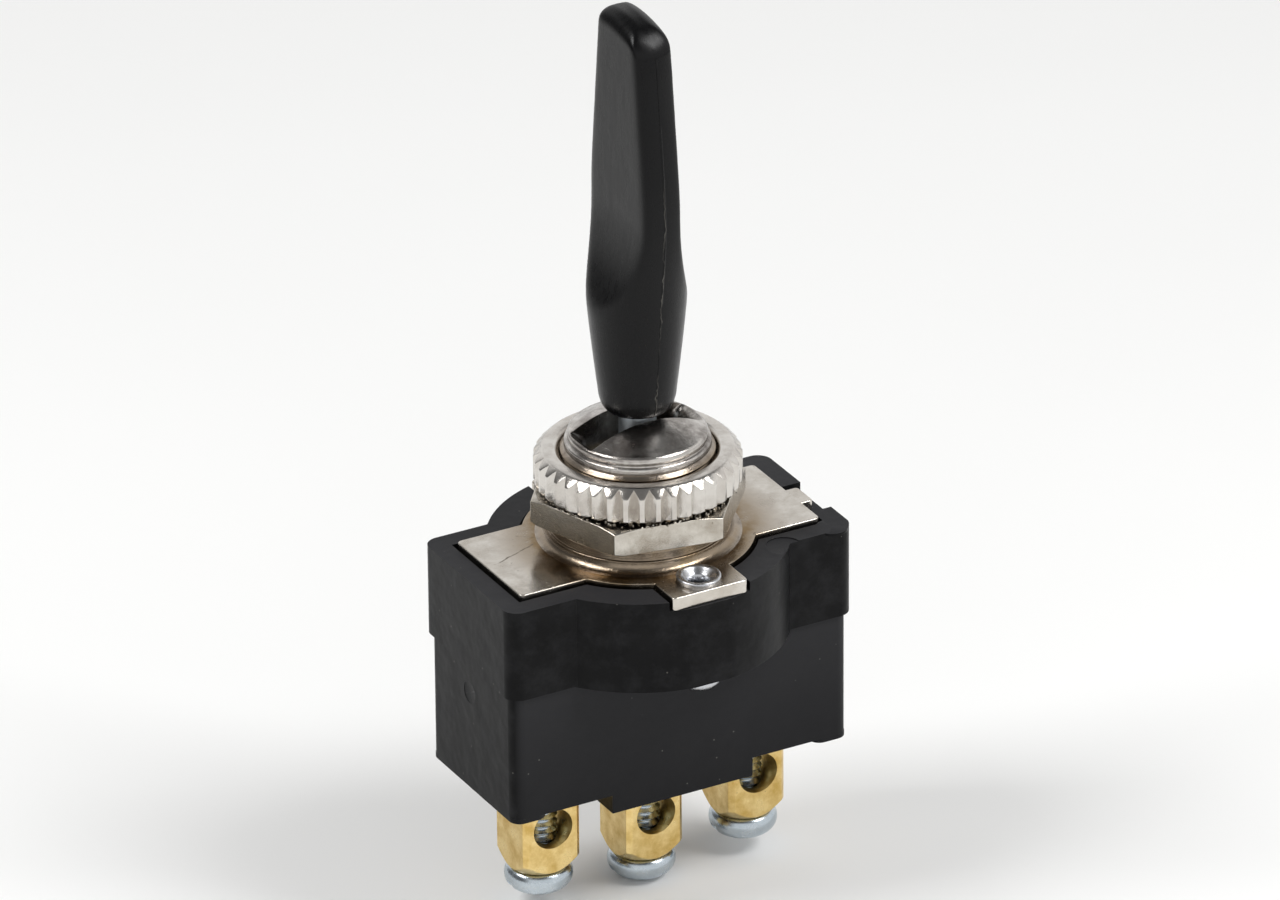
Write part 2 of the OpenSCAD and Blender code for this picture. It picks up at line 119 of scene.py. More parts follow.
def hairline(tree, where, start, end, width):
    """1 along a thin crooked scratch between two places in millimetres, fading at both ends, 0 elsewhere."""
    first, last = Vector(start) * MM, Vector(end) * MM
    length = (last - first).length
    along = tuple((last - first).normalized())
    stray = add(tree, "ShaderNodeTexNoise", {"Vector": where, "Scale": per(0.9), "Detail": 3.0})
    shift = add(tree, "ShaderNodeVectorMath", {0: stray.outputs["Color"], 1: (0.5, 0.5, 0.5)},
                operation="SUBTRACT")
    small = add(tree, "ShaderNodeVectorMath", {0: shift, "Scale": 0.45 * MM}, operation="SCALE")
    moved = add(tree, "ShaderNodeVectorMath", {0: where, 1: small})
    offset = add(tree, "ShaderNodeVectorMath", {0: moved, 1: tuple(first)}, operation="SUBTRACT")
    aside = add(tree, "ShaderNodeVectorMath", {0: offset, 1: along}, operation="CROSS_PRODUCT")
    gap = add(tree, "ShaderNodeVectorMath", {0: aside}, operation="LENGTH")
    run = add(tree, "ShaderNodeVectorMath", {0: offset, 1: along}, operation="DOT_PRODUCT")
    thin = add(tree, "ShaderNodeMapRange", {"Value": gap.outputs["Value"], "From Min": width * 0.4 * MM,
                                            "From Max": width * MM, "To Min": 1.0, "To Max": 0.0})
    middle = add(tree, "ShaderNodeMath", {0: run.outputs["Value"], 1: length / 2}, operation="SUBTRACT")
    out = add(tree, "ShaderNodeMath", {0: middle}, operation="ABSOLUTE")
    ends = add(tree, "ShaderNodeMapRange", {"Value": out, "From Min": length * 0.3,
                                            "From Max": length * 0.5, "To Min": 1.0, "To Max": 0.0})
    return add(tree, "ShaderNodeMath", {0: thin, 1: ends}, operation="MULTIPLY").outputs[0]


def round_and_up(tree, where):
    """Coordinates for turning marks: distance from the bushing axis, then height."""
    flat = add(tree, "ShaderNodeVectorMath", {0: where, 1: (1, 1, 0)}, operation="MULTIPLY")
    reach = add(tree, "ShaderNodeVectorMath", {0: flat}, operation="LENGTH")
    height = add(tree, "ShaderNodeSeparateXYZ", {0: where}).outputs["Z"]
    place = add(tree, "ShaderNodeCombineXYZ", {"X": reach.outputs["Value"], "Z": height})
    return place.outputs[0], reach.outputs["Value"]


def moulded_thermoset(name, dark, light, worn, rough, dusty):
    """Compression-moulded black thermoset: near black and half matt, with faint flow clouds, grey scuffed
    patches, a slight wave in the flat walls and pale filler dust in the pores. Faces turned upwards, the rim
    among them, are greyer as a painted sheen, and the long walls below the step are greyer as a painted
    reflection; the lighter finish of the rounded edges is partly wear and dust, partly painted highlight,
    and is the greyest and dustiest."""
    mat, tree, body, where = finish(name, **{"IOR": 1.55, "Specular IOR Level": 0.09})
    clouds = add(tree, "ShaderNodeTexNoise", {"Vector": where, "Scale": per(3.2), "Detail": 5.0,
                                              "Roughness": 0.62})
    shade = add(tree, "ShaderNodeMapRange", {"Value": clouds, "From Min": 0.35, "From Max": 0.68})
    tone = add(tree, "ShaderNodeMix", {"Factor": shade, "A": dark, "B": light}, data_type="RGBA")
    place = add(tree, "ShaderNodeSeparateXYZ", {0: where})
    facing = add(tree, "ShaderNodeNewGeometry").outputs["Normal"]
    upright = add(tree, "ShaderNodeSeparateXYZ", {0: facing}).outputs["Z"]
    # painted sheen: faces turned upwards, the rim among them, are greyed for the light they reflect
    top = add(tree, "ShaderNodeMapRange", {"Value": upright, "From Min": 0.6, "From Max": 0.95})
    # painted reflection: the long walls below the step are greyed, less so towards the bottom
    wall = add(tree, "ShaderNodeMath", {0: place.outputs["Y"]}, operation="ABSOLUTE")
    long_wall = add(tree, "ShaderNodeMapRange", {"Value": wall, "From Min": 6.4 * MM, "From Max": 6.7 * MM})
    step = add(tree, "ShaderNodeMath", {0: place.outputs["Z"], 1: -7.59 * MM}, operation="LESS_THAN")
    fade = add(tree, "ShaderNodeMapRange", {"Value": place.outputs["Z"], "From Min": -20 * MM,
                                            "From Max": -8 * MM, "To Min": 0.3, "To Max": 0.95})
    below = add(tree, "ShaderNodeMath", {0: step, 1: fade}, operation="MULTIPLY")
    painted_lower_wall_light = add(tree, "ShaderNodeMath", {0: long_wall, 1: below}, operation="MULTIPLY")
    scuffs = add(tree, "ShaderNodeTexNoise", {"Vector": where, "Scale": per(1.9), "Detail": 7.0,
                                              "Roughness": 0.7})
    patches = add(tree, "ShaderNodeMapRange", {"Value": scuffs, "From Min": 0.46, "From Max": 0.7,
                                               "To Min": 0.0, "To Max": 0.38})
    # grey joins the painted sheen on upward faces, the painted reflection on the lower long walls and the
    # real scuffed patches; the worn colour is laid over all three
    grey = add(tree, "ShaderNodeMath", {0: top, 1: painted_lower_wall_light}, operation="MAXIMUM")
    grey = add(tree, "ShaderNodeMath", {0: grey, 1: patches}, operation="MAXIMUM")
    scuffed_and_sheened = add(tree, "ShaderNodeMix", {"Factor": grey, "A": tone.outputs["Result"], "B": worn},
                 data_type="RGBA")
    dust = specks(tree, where, 0.5, 0.03 * dusty, 0.16)
    coarse = specks(tree, where, 1.8, 0.05 * dusty, 0.05)
    both = add(tree, "ShaderNodeMath", {0: dust, 1: coarse}, operation="MAXIMUM")
    soft = add(tree, "ShaderNodeMath", {0: both, 1: 0.22 + 0.04 * dusty}, operation="MULTIPLY")
    mix = add(tree, "ShaderNodeMix", {"Factor": soft, "A": scuffed_and_sheened.outputs["Result"], "B": "#8f8c85"},
              data_type="RGBA")
    tree.links.new(mix.outputs["Result"], body.inputs["Base Color"])
    gloss = add(tree, "ShaderNodeMapRange", {"Value": grey, "From Min": 0.0, "From Max": 0.6,
                                             "To Min": rough, "To Max": rough + 0.16})
    tree.links.new(gloss.outputs[0], body.inputs["Roughness"])
    wave = add(tree, "ShaderNodeTexNoise", {"Vector": where, "Scale": per(2.4), "Detail": 2.0})
    sway = add(tree, "ShaderNodeBump", {"Height": wave, "Distance": 0.14 * MM, "Strength": 0.6})
    skin = add(tree, "ShaderNodeTexNoise", {"Vector": where, "Scale": per(0.12), "Detail": 3.0,
                                            "Roughness": 0.7})
    pores = add(tree, "ShaderNodeBump", {"Height": skin, "Distance": 0.012 * MM, "Strength": 0.6,
                                         "Normal": sway})
    tree.links.new(pores.outputs[0], body.inputs["Normal"])
    return mat


def moulded_vinyl(name):
    """Injection-moulded black vinyl sleeve: smooth skin, soft gloss, fine handling scratches, a little dust,
    the pale burr of the parting line down both edges and one curved nick high on the left flat."""
    mat, tree, body, where = finish(name, **{"IOR": 1.53, "Specular IOR Level": 0.17})
    clouds = add(tree, "ShaderNodeTexNoise", {"Vector": where, "Scale": per(6), "Detail": 4.0,
                                              "Roughness": 0.55})
    tone = add(tree, "ShaderNodeMix", {"Factor": clouds, "A": "#070708", "B": "#0d0d0e"}, data_type="RGBA")
    dust = specks(tree, where, 1.3, 0.06, 0.05)
    place = add(tree, "ShaderNodeSeparateXYZ", {0: where})
    stray = add(tree, "ShaderNodeTexNoise", {"Vector": where, "Scale": per(2.5), "Detail": 4.0,
                                             "Roughness": 0.6})
    drift = add(tree, "ShaderNodeMapRange", {"Value": stray, "To Min": -0.5 * MM, "To Max": 0.5 * MM})
    seam = add(tree, "ShaderNodeMath", {0: place.outputs["X"], 1: drift, 2: 0.035 * MM}, operation="COMPARE")
    broken = add(tree, "ShaderNodeMapRange", {"Value": clouds, "From Min": 0.4, "From Max": 0.6})
    low = add(tree, "ShaderNodeMapRange", {"Value": place.outputs["Z"], "From Min": 24 * MM,
                                           "From Max": 32 * MM, "To Min": 1.0, "To Max": 0.0})
    burr = add(tree, "ShaderNodeMath", {0: seam, 1: low}, operation="MULTIPLY")
    burr = add(tree, "ShaderNodeMath", {0: burr, 1: broken}, operation="MULTIPLY")
    level = add(tree, "ShaderNodeVectorMath", {0: where, 1: (0, 1, 1)}, operation="MULTIPLY")
    ring = add(tree, "ShaderNodeVectorMath", {0: level, 1: (0, 0.09 * MM, 40.82 * MM)}, operation="DISTANCE")
    arc_line = add(tree, "ShaderNodeMath", {0: ring.outputs["Value"], 1: 1.65 * MM, 2: 0.04 * MM},
                   operation="COMPARE")
    under = add(tree, "ShaderNodeMath", {0: place.outputs["Z"], 1: 39.95 * MM}, operation="LESS_THAN")
    left = add(tree, "ShaderNodeMath", {0: place.outputs["X"], 1: -1.0 * MM}, operation="LESS_THAN")
    nick = add(tree, "ShaderNodeMath", {0: arc_line, 1: under}, operation="MULTIPLY")
    nick = add(tree, "ShaderNodeMath", {0: nick, 1: left}, operation="MULTIPLY")
    pale = add(tree, "ShaderNodeMath", {0: dust, 1: burr}, operation="MAXIMUM")
    soft = add(tree, "ShaderNodeMath", {0: pale, 1: 0.35}, operation="MULTIPLY")
    mix = add(tree, "ShaderNodeMix", {"Factor": soft, "A": tone.outputs["Result"], "B": "#a9a59c"},
              data_type="RGBA")
    tree.links.new(mix.outputs["Result"], body.inputs["Base Color"])
    drawn = add(tree, "ShaderNodeMapping", {"Vector": where, "Scale": (1, 1, 0.12)})
    streaks = add(tree, "ShaderNodeTexNoise", {"Vector": drawn, "Scale": per(0.35), "Detail": 4.0,
                                               "Roughness": 0.6})
    gloss = add(tree, "ShaderNodeMapRange", {"Value": streaks, "From Min": 0.35, "From Max": 0.7,
                                             "To Min": 0.24, "To Max": 0.36})
    tree.links.new(gloss.outputs[0], body.inputs["Roughness"])
    wave = add(tree, "ShaderNodeTexNoise", {"Vector": where, "Scale": per(3.0), "Detail": 2.0})
    sway = add(tree, "ShaderNodeBump", {"Height": wave, "Distance": 0.05 * MM, "Strength": 0.5})
    cut = add(tree, "ShaderNodeBump", {"Height": nick, "Distance": 0.03 * MM, "Strength": 0.8,
                                       "Normal": sway}, invert=True)
    skin = add(tree, "ShaderNodeBump", {"Height": streaks, "Distance": 0.003 * MM, "Strength": 0.5,
                                        "Normal": cut})
    tree.links.new(skin.outputs[0], body.inputs["Normal"])
    return mat


def nickel_plate(name, tone, shade, rough, grain_mm, grain_deep, wave_deep, stain, brown_reflection_top=9.0,
                 turned_deep=0.0, shaded_side=(0, 0, -1), scratches=()):
    """Nickel plate over steel or brass: warm grey and cloudy, with brown pits, scratches, the grain of the
    blank under the plate and turning marks where the blank was turned. The stain argument is a brown painted
    reflection round the bushing, given by the radius where it begins to fade, the radius where it ends and
    its strength, and it stops at a height. One flat may carry a painted shade, given by the direction it
    faces."""
    mat, tree, body, where = finish(name, **{"Metallic": 1.0})
    clouds = add(tree, "ShaderNodeTexNoise", {"Vector": where, "Scale": per(2.2), "Detail": 6.0,
                                              "Roughness": 0.65})
    mottle = add(tree, "ShaderNodeMapRange", {"Value": clouds, "From Min": 0.36, "From Max": 0.62})
    colour = add(tree, "ShaderNodeMix", {"Factor": mottle, "A": shade, "B": tone}, data_type="RGBA")
    axial, reach = round_and_up(tree, where)
    # stain: the brown painted reflection round the bushing
    full_r, end_r, strength = stain
    close = add(tree, "ShaderNodeMapRange", {"Value": reach, "From Min": full_r * MM, "From Max": end_r * MM,
                                             "To Min": strength, "To Max": 0.0})
    height = add(tree, "ShaderNodeSeparateXYZ", {0: where}).outputs["Z"]
    low = add(tree, "ShaderNodeMapRange", {"Value": height, "From Min": (brown_reflection_top - 0.5) * MM,
                                           "From Max": brown_reflection_top * MM, "To Min": 1.0, "To Max": 0.0})
    near = add(tree, "ShaderNodeMath", {0: close, 1: low}, operation="MULTIPLY")
    patchy = add(tree, "ShaderNodeMath", {0: near, 1: clouds}, operation="MULTIPLY")
    # painted shade: the flat that faces the given direction is darkened
    facing = add(tree, "ShaderNodeNewGeometry").outputs["Normal"]
    turn = add(tree, "ShaderNodeVectorMath", {0: facing, 1: shaded_side}, operation="DOT_PRODUCT")
    painted_side_shade = add(tree, "ShaderNodeMapRange", {"Value": turn.outputs["Value"], "From Min": 0.9,
                                               "From Max": 0.98, "To Min": 0.0, "To Max": 0.8})
    colour = add(tree, "ShaderNodeMix", {"Factor": painted_side_shade, "A": colour.outputs["Result"], "B": "#655e53"},
                 data_type="RGBA")
    # painted reflection: brown round the bushing, below a height
    painted_brown_reflection = add(tree, "ShaderNodeMix", {"Factor": patchy, "A": colour.outputs["Result"], "B": "#7f6845"},
                 data_type="RGBA")
    dark = specks(tree, where, 0.5, 0.08, 0.14)
    marks = add(tree, "ShaderNodeMath", {0: dark, 1: 0.65}, operation="MULTIPLY").outputs[0]
    for start, end, width in scratches:
        line = hairline(tree, where, start, end, width)
        marks = add(tree, "ShaderNodeMath", {0: marks, 1: line}, operation="MAXIMUM").outputs[0]
    mix = add(tree, "ShaderNodeMix", {"Factor": marks, "A": painted_brown_reflection.outputs["Result"], "B": "#5a4e3e"},
              data_type="RGBA")
    tree.links.new(mix.outputs["Result"], body.inputs["Base Color"])
    gloss = add(tree, "ShaderNodeMapRange", {"Value": clouds, "From Min": 0.3, "From Max": 0.7,
                                             "To Min": rough + 0.08, "To Max": rough - 0.06})
    tree.links.new(gloss.outputs[0], body.inputs["Roughness"])
    wave = add(tree, "ShaderNodeTexNoise", {"Vector": where, "Scale": per(1.1), "Detail": 3.0})
    sway = add(tree, "ShaderNodeBump", {"Height": wave, "Distance": wave_deep * MM, "Strength": 0.6})
    grain = add(tree, "ShaderNodeTexNoise", {"Vector": where, "Scale": per(grain_mm), "Detail": 4.0,
                                             "Roughness": 0.65})
    skin = add(tree, "ShaderNodeBump", {"Height": grain, "Distance": grain_deep * MM, "Strength": 0.7,
                                        "Normal": sway})
    if turned_deep:
        rings = add(tree, "ShaderNodeTexNoise", {"Vector": axial, "Scale": per(0.16), "Detail": 3.0,
                                                 "Roughness": 0.6})
        skin = add(tree, "ShaderNodeBump", {"Height": rings, "Distance": turned_deep * MM, "Strength": 0.8,
                                            "Normal": skin})
    tree.links.new(skin.outputs[0], body.inputs["Normal"])
    return mat


def plated_steel(name, dark, light, rough):
    """Bright zinc plate on steel: bluish grey, softly reflecting, faint turning marks, small dull patches."""
    mat, tree, body, where = finish(name, **{"Metallic": 1.0})
    clouds = add(tree, "ShaderNodeTexNoise", {"Vector": where, "Scale": per(1.2), "Detail": 4.0,
                                              "Roughness": 0.6})
    tone = add(tree, "ShaderNodeMix", {"Factor": clouds, "A": dark, "B": light}, data_type="RGBA")
    tree.links.new(tone.outputs["Result"], body.inputs["Base Color"])
    gloss = add(tree, "ShaderNodeMapRange", {"Value": clouds, "From Min": 0.3, "From Max": 0.7,
                                             "To Min": rough - 0.06, "To Max": rough + 0.08})
    tree.links.new(gloss.outputs[0], body.inputs["Roughness"])
    bands = add(tree, "ShaderNodeMapping", {"Vector": where, "Scale": (0.25, 0.25, 1)})
    marks = add(tree, "ShaderNodeTexNoise", {"Vector": bands, "Scale": per(0.14), "Detail": 3.0})
    skin = add(tree, "ShaderNodeBump", {"Height": marks, "Distance": 0.008 * MM, "Strength": 0.6})
    tree.links.new(skin.outputs[0], body.inputs["Normal"])
    return mat


def drawn_brass(name):
    """Drawn and sawn brass bar: golden, fine lines along the bar, slanting file marks, light brown stains."""
    mat, tree, body, where = finish(name, **{"Metallic": 1.0})
    clouds = add(tree, "ShaderNodeTexNoise", {"Vector": where, "Scale": per(1.4), "Detail": 5.0,
                                              "Roughness": 0.65})
    stain = add(tree, "ShaderNodeMapRange", {"Value": clouds, "From Min": 0.33, "From Max": 0.62})
    tone = add(tree, "ShaderNodeMix", {"Factor": stain, "A": "#cdaa60", "B": "#edd292"}, data_type="RGBA")
    dark = specks(tree, where, 0.4, 0.05, 0.12)
    pits = add(tree, "ShaderNodeMath", {0: dark, 1: 0.6}, operation="MULTIPLY")
    mix = add(tree, "ShaderNodeMix", {"Factor": pits, "A": tone.outputs["Result"], "B": "#5f4318"},
              data_type="RGBA")
    tree.links.new(mix.outputs["Result"], body.inputs["Base Color"])
    gloss = add(tree, "ShaderNodeMapRange", {"Value": clouds, "From Min": 0.3, "From Max": 0.7,
                                             "To Min": 0.36, "To Max": 0.26})
    tree.links.new(gloss.outputs[0], body.inputs["Roughness"])
    drawn = add(tree, "ShaderNodeMapping", {"Vector": where, "Scale": (1, 1, 0.05)})
    lines = add(tree, "ShaderNodeTexNoise", {"Vector": drawn, "Scale": per(0.1), "Detail": 4.0})
    along = add(tree, "ShaderNodeBump", {"Height": lines, "Distance": 0.006 * MM, "Strength": 0.7})
    slant = add(tree, "ShaderNodeMapping", {"Vector": where, "Rotation": (0, math.radians(38), 0),
                                            "Scale": (0.04, 1, 1)})
    filed = add(tree, "ShaderNodeTexNoise", {"Vector": slant, "Scale": per(0.16), "Detail": 3.0})
    deep = add(tree, "ShaderNodeMapRange", {"Value": filed, "From Min": 0.3, "From Max": 0.42})
    skin = add(tree, "ShaderNodeBump", {"Height": deep, "Distance": 0.006 * MM, "Strength": 0.5,
                                        "Normal": along})
    tree.links.new(skin.outputs[0], body.inputs["Normal"])
    return mat


def stamped_metal(name, dark, light, rough):
    """A stamped, drawn or cast metal part inside the body: even colour with a fine grain."""
    mat, tree, body, where = finish(name, **{"Metallic": 1.0})
    grain = add(tree, "ShaderNodeTexNoise", {"Vector": where, "Scale": per(0.3), "Detail": 4.0,
                                             "Roughness": 0.6})
    tone = add(tree, "ShaderNodeMix", {"Factor": grain, "A": dark, "B": light}, data_type="RGBA")
    tree.links.new(tone.outputs["Result"], body.inputs["Base Color"])
    gloss = add(tree, "ShaderNodeMapRange", {"Value": grain, "To Min": rough - 0.08, "To Max": rough + 0.08})
    tree.links.new(gloss.outputs[0], body.inputs["Roughness"])
    skin = add(tree, "ShaderNodeBump", {"Height": grain, "Distance": 0.006 * MM, "Strength": 0.5})
    tree.links.new(skin.outputs[0], body.inputs["Normal"])
    return mat


def moulded_nylon(name):
    """Natural nylon: ivory and slightly waxy, faintly clouded by the mould."""
    mat, tree, body, where = finish(name, **{"IOR": 1.53, "Subsurface Weight": 0.1,
                                             "Subsurface Scale": 0.001})
    clouds = add(tree, "ShaderNodeTexNoise", {"Vector": where, "Scale": per(1), "Detail": 3.0})
    tone = add(tree, "ShaderNodeMix", {"Factor": clouds, "A": "#d5cebb", "B": "#e8e2d3"}, data_type="RGBA")
    tree.links.new(tone.outputs["Result"], body.inputs["Base Color"])
    gloss = add(tree, "ShaderNodeMapRange", {"Value": clouds, "To Min": 0.4, "To Max": 0.52})
    tree.links.new(gloss.outputs[0], body.inputs["Roughness"])
    skin = add(tree, "ShaderNodeBump", {"Height": clouds, "Distance": 0.008 * MM, "Strength": 0.5})
    tree.links.new(skin.outputs[0], body.inputs["Normal"])
    return mat


# scratches on the cover plate: start, end, half width
PLATE_LINES = [((-12.6, 0.2, 0.35), (-6.9, 2.3, 0.35), 0.07), ((-9.4, 4.3, 0.35), (-6.2, 1.6, 0.35), 0.035),
               ((6.2, -6.2, 0.35), (7.7, -4.6, 0.35), 0.04)]
THERMOSET = moulded_thermoset("moulded_black_thermoset", "#080809", "#111112", "#2b2b2d", 0.33, 1.5)
# the rounded edges' finish: partly wear and dust, partly a painted highlight that makes every rounded edge
# lighter
THERMOSET_EDGE = moulded_thermoset("worn_and_highlit_thermoset_edge", "#2c2c2c", "#5f5e5b", "#5f5e5b", 0.32, 11.0)
VINYL = moulded_vinyl("moulded_black_vinyl")
# nickels: tone, shade, roughness, grain size, grain depth, wave depth, then the brown painted reflection
# round the bushing (full radius, end radius, strength)
PLATE_NICKEL = nickel_plate("nickel_plated_sheet", "#d3cec6", "#c0b9af", 0.22, 0.12, 0.006, 0.02,
                            (7.6, 11.6, 2.1), scratches=PLATE_LINES)
NUT_NICKEL = nickel_plate("nickel_plated_nut", "#d3cfc9", "#bfb9b2", 0.19, 0.1, 0.012, 0.012, (6.0, 6.4, 0.6))
# the hex nut's flat facing left carries a painted shade
HEX_NICKEL = nickel_plate("nickel_plated_hex_nut", "#cdc8bf", "#a9a195", 0.22, 0.1, 0.012, 0.012,
                          (6.0, 6.4, 0.6), shaded_side=(-0.944, -0.331, 0))
DOME_NICKEL = nickel_plate("nickel_plated_turned_brass", "#cbc7c2", "#827b76", 0.2, 0.12, 0.018, 0.05,
                           (7.5, 8.6, 1.3), brown_reflection_top=8.0, turned_deep=0.012)
ZINC = plated_steel("zinc_plated_steel", "#a3aeb6", "#ccd4da", 0.24)
ROD_ZINC = plated_steel("zinc_plated_rod", "#c6d0d8", "#e6ecf0", 0.4)
BRASS = drawn_brass("drawn_brass_bar")
RIVET = plated_steel("tinned_rivet_brass", "#a9abb0", "#d8d9dc", 0.26)
SPRING = stamped_metal("drawn_spring_wire", "#7d7f83", "#9ea1a5", 0.3)
STAMPED = stamped_metal("stamped_contact_brass", "#c69a4c", "#ddb368", 0.32)
BRONZE = stamped_metal("stamped_contact_bronze", "#b97a4c", "#d0946a", 0.32)
SILVER = stamped_metal("silver_contact_tip", "#cfccc6", "#e6e4e0", 0.3)
NYLON = moulded_nylon("moulded_natural_nylon")

# ---------------------------------------------------------------- mesh tools, sizes in millimetres


def obj_from(name, verts, faces, mats=()):
    """An object in the scene from points and faces."""
    mesh = bpy.data.meshes.new(name)
    mesh.from_pydata([tuple(c * MM for c in v) for v in verts], [], faces)
    mesh.validate()
    for mat in mats:
        mesh.materials.append(mat)
    piece = bpy.data.objects.new(name, mesh)
    bpy.context.scene.collection.objects.link(piece)
    return piece


def baked(piece):
    """Applies the modifiers into a plain mesh."""
    graph = bpy.context.evaluated_depsgraph_get()
    mesh = bpy.data.meshes.new_from_object(piece.evaluated_get(graph))
    piece.modifiers.clear()
    old, piece.data = piece.data, mesh
    bpy.data.meshes.remove(old)
    return piece


def settle(piece, angle=35):
    """Applies the modifiers, points the faces outwards, shades smooth up to an angle and keeps flats flat."""
    baked(piece)
    form = bmesh.new()
    form.from_mesh(piece.data)
    bmesh.ops.remove_doubles(form, verts=form.verts, dist=1e-7)
    bmesh.ops.recalc_face_normals(form, faces=form.faces)
    form.to_mesh(piece.data)
    form.free()
    piece.data.shade_smooth()
    piece.data.set_sharp_from_angle(angle=math.radians(angle))
    even = piece.modifiers.new("even_normals", "WEIGHTED_NORMAL")
    even.keep_sharp = True
    even.weight = 90
    return baked(piece)


def soften(piece, width, segments=3, angle=30, material=-1):
    """Rounds every edge sharper than an angle; the rounding may have a material of its own."""
    edge = piece.modifiers.new("soft_edges", "BEVEL")
    edge.width = width * MM
    edge.segments = segments
    edge.limit_method = "ANGLE"
    edge.angle_limit = math.radians(angle)
    edge.material = material
    edge.use_clamp_overlap = True
    edge.miter_outer = "MITER_ARC"
    return piece


def combine(piece, tool, how="DIFFERENCE"):
    """Cuts or joins another solid, then throws the tool away."""
    step = piece.modifiers.new("cut", "BOOLEAN")
    step.operation = how
    step.solver = "EXACT"
    step.object = tool
    baked(piece)
    bpy.data.objects.remove(tool)
    return piece


def join(piece, *others):
    """Puts the meshes of other pieces into this one, materials and all."""
    form = bmesh.new()
    form.from_mesh(piece.data)
    mats = list(piece.data.materials)
    for other in others:
        shift = {}
        for i, mat in enumerate(other.data.materials):
            if mat not in mats:
                mats.append(mat)
                piece.data.materials.append(mat)
            shift[i] = mats.index(mat)
        first = len(form.faces)
        form.from_mesh(other.data)
        form.faces.ensure_lookup_table()
        for face in form.faces[first:]:
            face.material_index = shift.get(face.material_index, 0)
        bpy.data.objects.remove(other)
    form.to_mesh(piece.data)
    form.free()
    return piece


def from_node(node, name, mats):
    """A merged copy of a CAD node's mesh, its flat faces melted together, ready for soft edges."""
    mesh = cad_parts[node].data.copy()
    mesh.materials.clear()
    for mat in mats:
        mesh.materials.append(mat)
    for polygon in mesh.polygons:
        polygon.material_index = 0
    piece = bpy.data.objects.new(name, mesh)
    bpy.context.scene.collection.objects.link(piece)
    if mesh.has_custom_normals:
        bpy.context.view_layer.objects.active = piece
        bpy.ops.mesh.customdata_custom_splitnormals_clear()
    form = bmesh.new()
    form.from_mesh(piece.data)
    bmesh.ops.remove_doubles(form, verts=form.verts, dist=2e-7)
    bmesh.ops.dissolve_limit(form, angle_limit=math.radians(0.4), verts=form.verts, edges=form.edges)
    form.to_mesh(piece.data)
    form.free()
    return piece


def turned(profile, steps=160, name="turned", mats=(), x=0, y=0):
    """Revolves a closed outline of (radius, height) pairs about an upright axis; a radius of 0 is a pole."""
    verts, rings = [], []
    for r, z in profile:
        if r < 1e-6:
            rings.append([len(verts)] * steps)
            verts.append((x, y, z))
        else:
            rings.append(list(range(len(verts), len(verts) + steps)))
            verts += [(x + r * math.cos(math.tau * i / steps), y + r * math.sin(math.tau * i / steps), z)
                      for i in range(steps)]
    faces = []
    for low, high in zip(rings, rings[1:] + rings[:1]):
        for i in range(steps):
            j = (i + 1) % steps
            face = list(dict.fromkeys((low[i], low[j], high[j], high[i])))
            if len(face) > 2:
                faces.append(face)
    return obj_from(name, verts, faces, mats)


def arc(cx, cy, r, start, end, steps):
    """Points of an arc, in degrees, both ends included."""
    turn = [math.radians(start + (end - start) * i / steps) for i in range(steps + 1)]
    return [(cx + r * math.cos(a), cy + r * math.sin(a)) for a in turn]


def bar(outline, z0, z1, name="bar", mats=()):
    """A straight bar of an outline, from z0 to z1."""
    n = len(outline)
    verts = [(x, y, z) for z in (z0, z1) for x, y in outline]
    sides = [(i, (i + 1) % n, n + (i + 1) % n, n + i) for i in range(n)]
    return obj_from(name, verts, [tuple(range(n - 1, -1, -1)), tuple(range(n, 2 * n))] + sides, mats)


def oblong(l, w, r, steps=8, x=0, y=0):
    """A rectangle with round corners, as an outline."""
    out = []
    for i, (sx, sy) in enumerate(((1, 1), (-1, 1), (-1, -1), (1, -1))):
        out += arc(x + sx * (l / 2 - r), y + sy * (w / 2 - r), r, 90 * i, 90 * i + 90, steps)
    return out


# ---------------------------------------------------------------- Geometry Nodes for what repeats


def new_tree(name, **sizes):
    """A Geometry Nodes tree with a geometry input, a material input and one named input for each size."""
    tree = bpy.data.node_groups.new(name, "GeometryNodeTree")
    tree.interface.new_socket("Geometry", in_out="INPUT", socket_type="NodeSocketGeometry")
    tree.interface.new_socket("Finish", in_out="INPUT", socket_type="NodeSocketMaterial")
    for label, kind in sizes.items():
        tree.interface.new_socket(label, in_out="INPUT", socket_type="NodeSocket" + kind)
    tree.interface.new_socket("Geometry", in_out="OUTPUT", socket_type="NodeSocketGeometry")
    return tree, add(tree, "NodeGroupInput").outputs


def close_tree(tree, given, shape):
    """Ends a tree: instances made real, the material set, the geometry put out."""
    whole = add(tree, "GeometryNodeRealizeInstances", {"Geometry": shape})
    done = add(tree, "GeometryNodeSetMaterial", {"Geometry": whole, "Material": given["Finish"]})
    add(tree, "NodeGroupOutput", {"Geometry": done})
    return tree


def grow(tree, piece, **values):
    """Runs a tree on a piece with its sizes set, and keeps the result as a plain mesh."""
    step = piece.modifiers.new("grow", "NODES")
    step.node_group = tree
    for socket in tree.interface.items_tree:
        if socket.in_out == "INPUT" and socket.name in values:
            step[socket.identifier] = values[socket.name]
    return baked(piece)


def ring_tree():
    """Copies one sector round the bushing axis: teeth of a knurl."""
    tree, given = new_tree("sectors_round_axis", Copies="Int")
    points = add(tree, "GeometryNodeMeshLine", {"Count": given["Copies"], "Offset": (0, 0, 0)})
    step = add(tree, "ShaderNodeMath", {0: math.tau, 1: given["Copies"]}, operation="DIVIDE")
    index = add(tree, "GeometryNodeInputIndex")
    angle = add(tree, "ShaderNodeMath", {0: index, 1: step}, operation="MULTIPLY")
    turn = add(tree, "ShaderNodeCombineXYZ", {"Z": angle})
    copies = add(tree, "GeometryNodeInstanceOnPoints", {"Points": points, "Instance": given["Geometry"],
                                                        "Rotation": turn})
    return close_tree(tree, given, copies.outputs[0])


